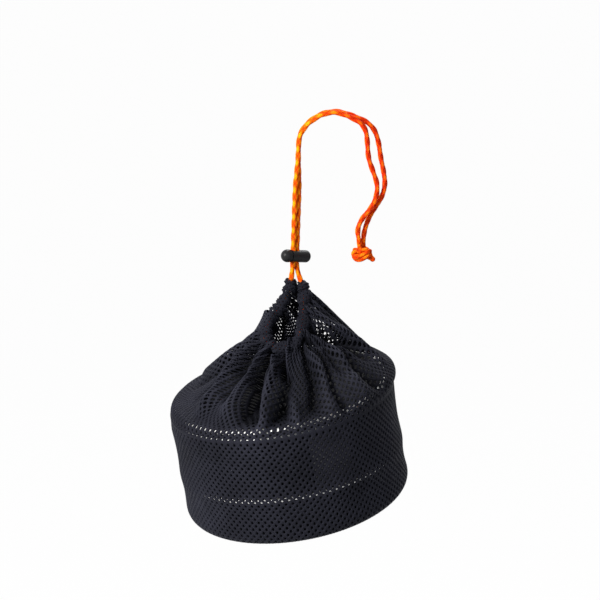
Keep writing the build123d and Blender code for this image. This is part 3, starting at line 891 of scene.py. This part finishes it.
# ------------------------------------------------------------------ operators
class MESHBAG_OT_stage(bpy.types.Operator):
    """Camera, floor, backdrop and soft lamps"""

    bl_idname = "meshbag.stage"
    bl_label = "Stage"

    def execute(self, context):
        settings = context.scene.mesh_bag_stage
        low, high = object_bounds()
        self.camera(context.scene)
        self.floor(low.z - settings.floor_drop)
        self.world(context.scene)
        self.lamps((low + high) / 2, settings.key_power)
        return {"FINISHED"}

    def camera(self, scene):
        camera = bpy.data.cameras.new("camera")
        camera.lens, camera.sensor_width = 90.7, 36.0
        holder = placed("camera", camera)
        down, roll = math.radians(17.89), math.radians(2.0)
        forward = Vector((0, math.cos(down), -math.sin(down)))
        level = Vector((0, math.sin(down), math.cos(down)))
        right = Vector((math.cos(roll), 0, 0)) + level * math.sin(roll)
        up = Vector((-math.sin(roll), 0, 0)) + level * math.cos(roll)
        rows = [(right[k], up[k], -forward[k], p) for k, p in enumerate((-0.02325, -1.21377, 0.23335))]
        holder.matrix_world = Matrix([*rows, (0, 0, 0, 1)])
        scene.camera = holder
        scene.view_settings.view_transform = "Standard"

    def floor(self, floor_z):
        """Pale floor that sweeps up into the backdrop."""
        half_wide, sweep_from, sweep_r, steps = 6.0, 2.2, 1.0, 14
        glow = 0.97  # how far it shines white where it is seen
        turns = [k / steps * math.pi / 2 for k in range(steps + 1)]
        profile = [(-half_wide, 0)]
        profile += [(sweep_from + sweep_r * math.sin(a), sweep_r * (1 - math.cos(a))) for a in turns]
        profile += [(sweep_from + sweep_r, 5)]
        verts = [(x, y, floor_z + z) for y, z in profile for x in (-half_wide, half_wide)]
        faces = np.array([(2 * k, 2 * k + 1, 2 * k + 3, 2 * k + 2) for k in range(len(profile) - 1)])
        floor = new_mesh("floor", verts, faces)
        material, tree, shader = new_material("pale_floor")
        soft = noise(tree, own_place(tree), Scale=3.0, Detail=2.0)
        pale = mix_colour(tree, soft, (0.80, 0.80, 0.80), (0.83, 0.83, 0.83))
        finish_with(tree, shader, {"Base Color": pale, "Roughness": 0.9})
        white = node(tree, "ShaderNodeEmission", Color=(1, 1, 1, 1), Strength=1.0)
        mix_shaders(
            tree, maths(tree, "MULTIPLY", seen_directly(tree), glow), shader.outputs[0], white.outputs[0],
            tree.nodes["Material Output"].inputs[0],
        )
        floor.data.materials.append(material)
        floor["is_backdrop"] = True

    def world(self, scene):
        world = bpy.data.worlds.new("studio")
        scene.world = world
        world.use_nodes = True
        tree = world.node_tree
        tree.nodes.clear()
        lights = node(tree, "ShaderNodeBackground", Color=(0.92, 0.95, 1.0, 1), Strength=0.24)
        shows = node(tree, "ShaderNodeBackground", Color=(0.985, 0.985, 0.985, 1), Strength=1.0)
        out = tree.nodes.new("ShaderNodeOutputWorld")
        mix_shaders(tree, seen_directly(tree), lights.outputs[0], shows.outputs[0], out.inputs[0])

    def lamps(self, centre, key_power):
        for name, spot, wide, power, tint in (
            ("key_lamp", (-0.95, -0.88, 0.75), 0.8, key_power, (1, 0.985, 0.96)),
            ("fill_lamp", (0.5, -1.3, 0.3), 1.0, key_power * 0.04, (0.95, 0.97, 1)),
            ("rim_lamp", (0.25, 1.0, 1.0), 0.9, key_power * 0.45, (1, 1, 1)),
        ):
            lamp = bpy.data.lights.new(name, "AREA")
            lamp.shape, lamp.size, lamp.energy, lamp.color = "DISK", wide, power, tint
            holder = placed(name, lamp)
            holder.location = centre + Vector(spot)
            holder.rotation_mode = "QUATERNION"
            holder.rotation_quaternion = (-Vector(spot)).to_track_quat("-Z", "Y")


class MESHBAG_OT_cords(bpy.types.Operator):
    """Two ends of the drawcord over the hold, the same cord round the mouth, and the knot"""

    bl_idname = "meshbag.cords"
    bl_label = "Cords and Knot"

    def execute(self, context):
        settings = context.scene.mesh_bag_cord
        radius, pitch = settings.diameter / 2, settings.braid_pitch
        material = cord_material(tuple(settings.bright), tuple(settings.second_tone_and_shade))
        knot = self.knot(radius, pitch, material)
        for name, route in (("cord_left", left_route), ("cord_right", right_route)):
            tube, path, length = braid(nurbs_line(name + "_line", route), radius, pitch)
            piece = braid_piece(name + "_braid", tube)
            give(piece, material, name)
        tube = braid(nurbs_line("cord_mouth_line", mouth_route), radius, pitch, around=14, step=0.0006)[0]
        give(braid_piece("cord_mouth_braid", tube), material, "cord_mouth")
        return {"FINISHED"}

    def knot(self, radius, pitch, material):
        """Both strands wind lengthwise round the bight and tuck out at the lower end."""
        axis = knot_along / np.linalg.norm(knot_along)
        directions = np.stack([axis, front_back, np.cross(axis, front_back)])
        tubes = []
        for route, wraps in ((left_route, left_wraps), (right_route, right_wraps)):
            wound = knot_centre + np.array(wraps) @ directions / 1000
            line = nurbs_line("knot_line", [*route[-2:], *wound])
            tubes.append(braid(line, radius * 1.02, pitch, around=18, step=0.0005, taper=0.0012)[0])
        knot = braid_piece("cord_knot_tied", *tubes)
        give(knot, material, "cord_knot")
        return knot


class MESHBAG_OT_net(bpy.types.Operator):
    """Base, wall and gathered top of the bag as real net"""

    bl_idname = "meshbag.net"
    bl_label = "Net"

    def execute(self, context):
        settings = context.scene.mesh_bag_net
        half = settings.columns * 2  # half columns round the bag
        width = 2 * math.pi * net_r
        cloth = Cloth(settings.columns, settings.row_pitch)
        lower, upper = cloth.lower_rows, cloth.upper_rows
        material = yarn_material("mesh_yarn", tuple(settings.colour), settings.columns * 8, upper * 7)

        def on_cloth(m, j, h):
            return cloth.at(m / 2, j, h)

        def stretch(m, j):
            """How far the holes are drawn open: more towards the mouth, less in the slack cloth at the back."""
            way, turn = (j - lower) / upper, m / half * 360
            above = min(1, max(0, way * 5))
            back = math.exp(-(((turn - 90) / 55) ** 2)) * float(smoothstep((0.50 - way) / 0.15)) * above
            right = math.exp(-((((turn + 168) % 360 - 180) / 26) ** 2)) * above
            to_mouth, to_right, slack = 0.42, 0.30, 0.72
            opened = 1 + to_mouth * min(1, max(0, way * 1.6)) + to_right * right
            return opened * (1 - back) + slack * back

        for name, first, last, replaced, held in (
            ("side_net", 0, lower, "side_panel", "stretched"),
            ("gathered_net", lower, lower + upper, "gathered_top", "gathered"),
        ):
            rows = last - first
            cells = [(m, j) for j in range(first + 1, last) for m in range(half) if (m + j) % 2 == 0]
            # triangles that fill the notches between the cells along the first and last row
            trims = []
            for edge, way in ((first, 1), (last, -1)):
                for m in range(edge % 2, half, 2):
                    a, mid, b, top = (m - 1, edge), (m, edge), (m + 1, edge), (m, edge + way)
                    q1, q2 = (m - 0.5, edge + 0.5 * way), (m + 0.5, edge + 0.5 * way)
                    found = [(a, mid, q1), (mid, top, q1), (mid, q2, top), (mid, b, q2)]
                    trims += found if way > 0 else [corner[::-1] for corner in found]
            piece, at_half, at_row = net_piece(
                name, on_cloth, cells, half, (width / half, settings.row_pitch),
                settings.hole_radius, settings.thread_height,
                lambda m, j: np.stack([(m + 1) / (half + 2), (j - first) / rows], 1), trims, stretch,
            )
            # fold depth, which the yarn's material turns into painted shade in the valleys and painted light on the
            # ridges
            mark(piece, "fold", cloth.fold_at(at_half / 2, at_row))
            give(piece, material, replaced)
        self.base(settings, material)
        return {"FINISHED"}

    def base(self, settings, material):
        reach = net_r - net_corner
        dx, dy = settings.row_pitch * 0.95, settings.row_pitch
        count = int(reach / min(dx, dy)) + 2
        span = range(-count, count + 1)

        def flat(m, j, h):
            x, y, z = (value[:, None] for value in (m * dx, j * dy, net_half_thick - h))
            return base_centre + z * load_up + x * load_across + y * front_back

        cells = [
            (m, j) for j in span for m in span
            if (m + j) % 2 == 0 and math.hypot(m * dx, j * dy) < reach - 0.0012
        ]
        piece = net_piece(
            "base_net", flat, cells, 0, (dx, dy), settings.hole_radius, settings.thread_height,
            lambda m, j: 0.5 + np.stack([m, j], 1) / (2 * count + 4),
        )[0]
        piece.data.flip_normals()
        give(piece, material, "base_panel")


class MESHBAG_OT_seams(bpy.types.Operator):
    """Base seam, side seam and the gathered casing round the mouth"""

    bl_idname = "meshbag.seams"
    bl_label = "Seams and Casing"

    def execute(self, context):
        colour = tuple(context.scene.mesh_bag_net.colour)
        tape = yarn_material("seam_tape", tuple(c * 0.8 for c in colour), 300, 6, depth=0.7)
        self.ring(tape)
        self.side(tape)
        self.casing(yarn_material("casing_yarn", colour, 60, 300, depth=0.8))
        return {"FINISHED"}

    def ring(self, tape):
        """Stitched tape round the edge of the base."""
        turns, around = 396, 10
        azimuth, a = ring_turns(turns)[:, None], ring_turns(around)[None]
        stitch = 1 + 0.10 * np.abs(np.sin(azimuth * 120))
        half_wide, half_thick = 0.0022, 0.0008
        wide = net_r - net_corner - 0.0005 + half_wide * np.cos(a) * stitch
        high = 0.0007 + half_thick * np.sin(a) * stitch
        points = base_centre + turned(azimuth) * wide[..., None] + load_up * high[..., None]
        # the last ring joins the first again
        faces = tube_faces(turns + 1, around) % (turns * around)
        uvs = np.stack([np.repeat(np.arange(turns) / turns, around), np.tile(np.arange(around) / around, turns)], 1)
        piece = new_mesh("base_seam_tape", points.reshape(-1, 3), faces, uvs)
        give(piece, tape, "base_seam")

    def side(self, tape):
        """Tape up the wall, a little round to the back from the right."""
        azimuth, half_wide, rows, columns = math.radians(32), 0.0034, 120, 9
        h, w = np.meshgrid(
            np.linspace(0.0105, wall_top, rows), np.linspace(-half_wide, half_wide, columns), indexing="ij")
        share = w / half_wide
        lift = 0.0011 + 0.0004 * np.cos(share * np.pi * 2) * (0.7 + 0.3 * np.sin(h * 2600))
        r = net_r + lift - 0.0009 * np.abs(share) ** 6
        points = base_centre + load_up * h[..., None] + turned(azimuth + w / net_r) * r[..., None]
        corner = (np.arange(rows - 1)[:, None] * columns + np.arange(columns - 1)).ravel()
        faces = np.stack([corner, corner + 1, corner + columns + 1, corner + columns], 1)
        uvs = np.stack(np.meshgrid(np.arange(rows) / rows, np.arange(columns) / columns, indexing="ij"), -1)
        piece = new_mesh("side_seam_tape", points.reshape(-1, 3), faces, uvs.reshape(-1, 2))
        give(piece, tape, "side_seam")

    def casing(self, material):
        """The hem of the net, drawn up on the cord in tight gathers."""
        ends, past_mouth = [], 0.0042
        for first, second in (np.array(left_route[:2]), np.array(right_route[:2])):
            ahead = second - first
            ends.append(tuple(first + ahead / np.linalg.norm(ahead) * past_mouth))
        points, length = along(nurbs_line("casing_line", [ends[0], *mouth_route, ends[1]]), 0.0003)
        side, up = frames(points)
        half, rows = 10, 96
        inner_r, gather, drawn_in = 0.0027, 0.0078, 0.004

        def on_casing(m, j, h):
            share = np.clip(j / rows, 0, 1)
            at = share * (len(points) - 1)
            k = np.minimum(at.astype(int), len(points) - 2)
            part = (at - k)[:, None]
            here, out, over = (table[k] * (1 - part) + table[k + 1] * part for table in (points, side, up))
            a = m / half * 2 * np.pi
            wobble = 1.8 * np.sin(share * 31) + 1.1 * np.sin(share * 53 + 1)
            phase = share * length / gather * 2 * np.pi + wobble + 0.8 * np.sin(a + share * 9)
            crest = np.abs(np.sin(phase / 2)) ** 0.7
            r = 0.0033 + 0.0022 * crest + 0.0007 * np.sin(a * 2 + share * 37) + 0.0004 * np.sin(phase * 2.7 + a * 2)
            close = np.clip(np.minimum(share, 1 - share) * length / drawn_in, 0, 1)
            r = inner_r + (r - inner_r) * (0.3 + 0.7 * close) + h
            return here + out * (np.cos(a) * r)[:, None] + over * (np.sin(a) * r)[:, None]

        cells = [(m, j) for j in range(1, rows) for m in range(half) if (m + j) % 2 == 0]
        piece = net_piece(
            "gathered_casing", on_casing, cells, half, (0.0026, length / rows), 0.00044, 0.0003,
            lambda m, j: np.stack([(m + 1) / (half + 2), j / rows], 1),
        )[0]
        give(piece, material, "hem_casing")


class MESHBAG_OT_finishes(bpy.types.Operator):
    """Finishes of the cord lock and of the load inside the bag"""

    bl_idname = "meshbag.finishes"
    bl_label = "Lock and Load Finishes"

    def execute(self, context):
        finishes = {
            "lock_barrel": grained_material(
                "lock_plastic_black", (0.007, 0.007, 0.008), (0.014, 0.014, 0.015), 0.36,
                scale=1600.0, depth=0.25, gloss=0.10),
            "lock_button": grained_material(
                "button_plastic_black", (0.008, 0.008, 0.009), (0.016, 0.016, 0.017), 0.33,
                scale=1600.0, depth=0.2, gloss=0.10),
            "load_pot": coated_material(
                "pot_hard_coating", coating_dark, coating_light, 0.45, pot_rim, rim_half, rim_least),
            "load_dish": coated_material(
                "dish_hard_coating", coating_dark, coating_light, 0.45, dish_rim, rim_half, rim_least),
            "load_lid": coated_material(
                "lid_hard_coating", (0.006, 0.006, 0.007), (0.013, 0.013, 0.015), 0.40,
                lid_edge, lid_edge_half, lid_edge_least),
            "load_grip": grained_material(
                "grip_dark_steel", (0.030, 0.030, 0.033), (0.055, 0.055, 0.060), 0.40, metallic=0.8, scale=1200.0),
        }
        for name, material in finishes.items():
            part = frame["nodes"][name]
            part.data.materials.clear()
            part.data.materials.append(material)
        self.spring(grained_material(
            "spring_wire_steel", (0.55, 0.55, 0.56), (0.65, 0.65, 0.66), 0.3, metallic=1.0, scale=2500.0))
        return {"FINISHED"}

    def spring(self, material):
        """Coil spring in the lock, which shortens as its button is pressed."""
        press = next(j for j in frame["record"]["behaviour"]["joints"] if j["name"] == "button_press")
        axis = np.array(press["axis"], float)
        axis /= np.linalg.norm(axis)
        first = np.cross(axis, (0, 0, 1))
        first /= np.linalg.norm(first)
        directions = np.stack([axis, first, np.cross(axis, first)])
        points = np.array([v.co for v in frame["nodes"]["lock_spring"].data.vertices], float)
        low, high = (points @ directions.T).min(0), (points @ directions.T).max(0)
        centre, length = (high + low) / 2, high[0] - low[0]
        wire, coils, steps, around = 0.0004, 3.5, 200, 10
        reach = (high[1] - low[1]) / 2 - wire
        turn = np.linspace(0, coils * 2 * np.pi, steps)
        climb = np.linspace(low[0] + wire, high[0] - wire, steps)
        line = np.stack([climb, centre[1] + reach * np.cos(turn), centre[2] + reach * np.sin(turn)], 1) @ directions
        side, up = frames(line)
        a = ring_turns(around)[None, :, None]
        tube = line[:, None] + wire * (np.cos(a) * side[:, None] + np.sin(a) * up[:, None])
        piece = new_mesh(
            "lock_spring_coil", np.concatenate([tube.reshape(-1, 3), line[:1], line[-1:]]),
            [tube_faces(steps, around), cap_faces(steps, around)],
            np.concatenate(tube_uvs(steps, around, 0.045, 2 * math.pi * wire)),
        )
        give(piece, material, "lock_spring", "lock")
        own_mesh(piece)


class MESHBAG_PT_panel(bpy.types.Panel):
    """Sizes, colours and the pieces of the mesh bag"""

    bl_idname = "MESHBAG_PT_panel"
    bl_label = "Mesh Drawstring Bag"
    bl_space_type = "VIEW_3D"
    bl_region_type = "UI"
    bl_category = "Mesh Bag"

    def draw(self, context):
        layout = self.layout
        for settings in (context.scene.mesh_bag_net, context.scene.mesh_bag_cord, context.scene.mesh_bag_stage):
            box = layout.box()
            for name in settings.__annotations__:
                box.prop(settings, name)
        for operator in operators:
            layout.operator(operator.bl_idname)


operators = (MESHBAG_OT_stage, MESHBAG_OT_cords, MESHBAG_OT_net, MESHBAG_OT_seams, MESHBAG_OT_finishes)
classes = (MeshBagNet, MeshBagCord, MeshBagStage, *operators, MESHBAG_PT_panel)


def register():
    for item in classes:
        bpy.utils.register_class(item)
    bpy.types.Scene.mesh_bag_net = PointerProperty(type=MeshBagNet)
    bpy.types.Scene.mesh_bag_cord = PointerProperty(type=MeshBagCord)
    bpy.types.Scene.mesh_bag_stage = PointerProperty(type=MeshBagStage)


def unregister():
    for name in ("mesh_bag_net", "mesh_bag_cord", "mesh_bag_stage"):
        delattr(bpy.types.Scene, name)
    for item in reversed(classes):
        bpy.utils.unregister_class(item)


def main():
    register()
    bpy.ops.meshbag.stage()
    bpy.ops.meshbag.cords()
    bpy.ops.meshbag.net()
    bpy.ops.meshbag.seams()
    bpy.ops.meshbag.finishes()


if __name__ == "__main__":
    main()
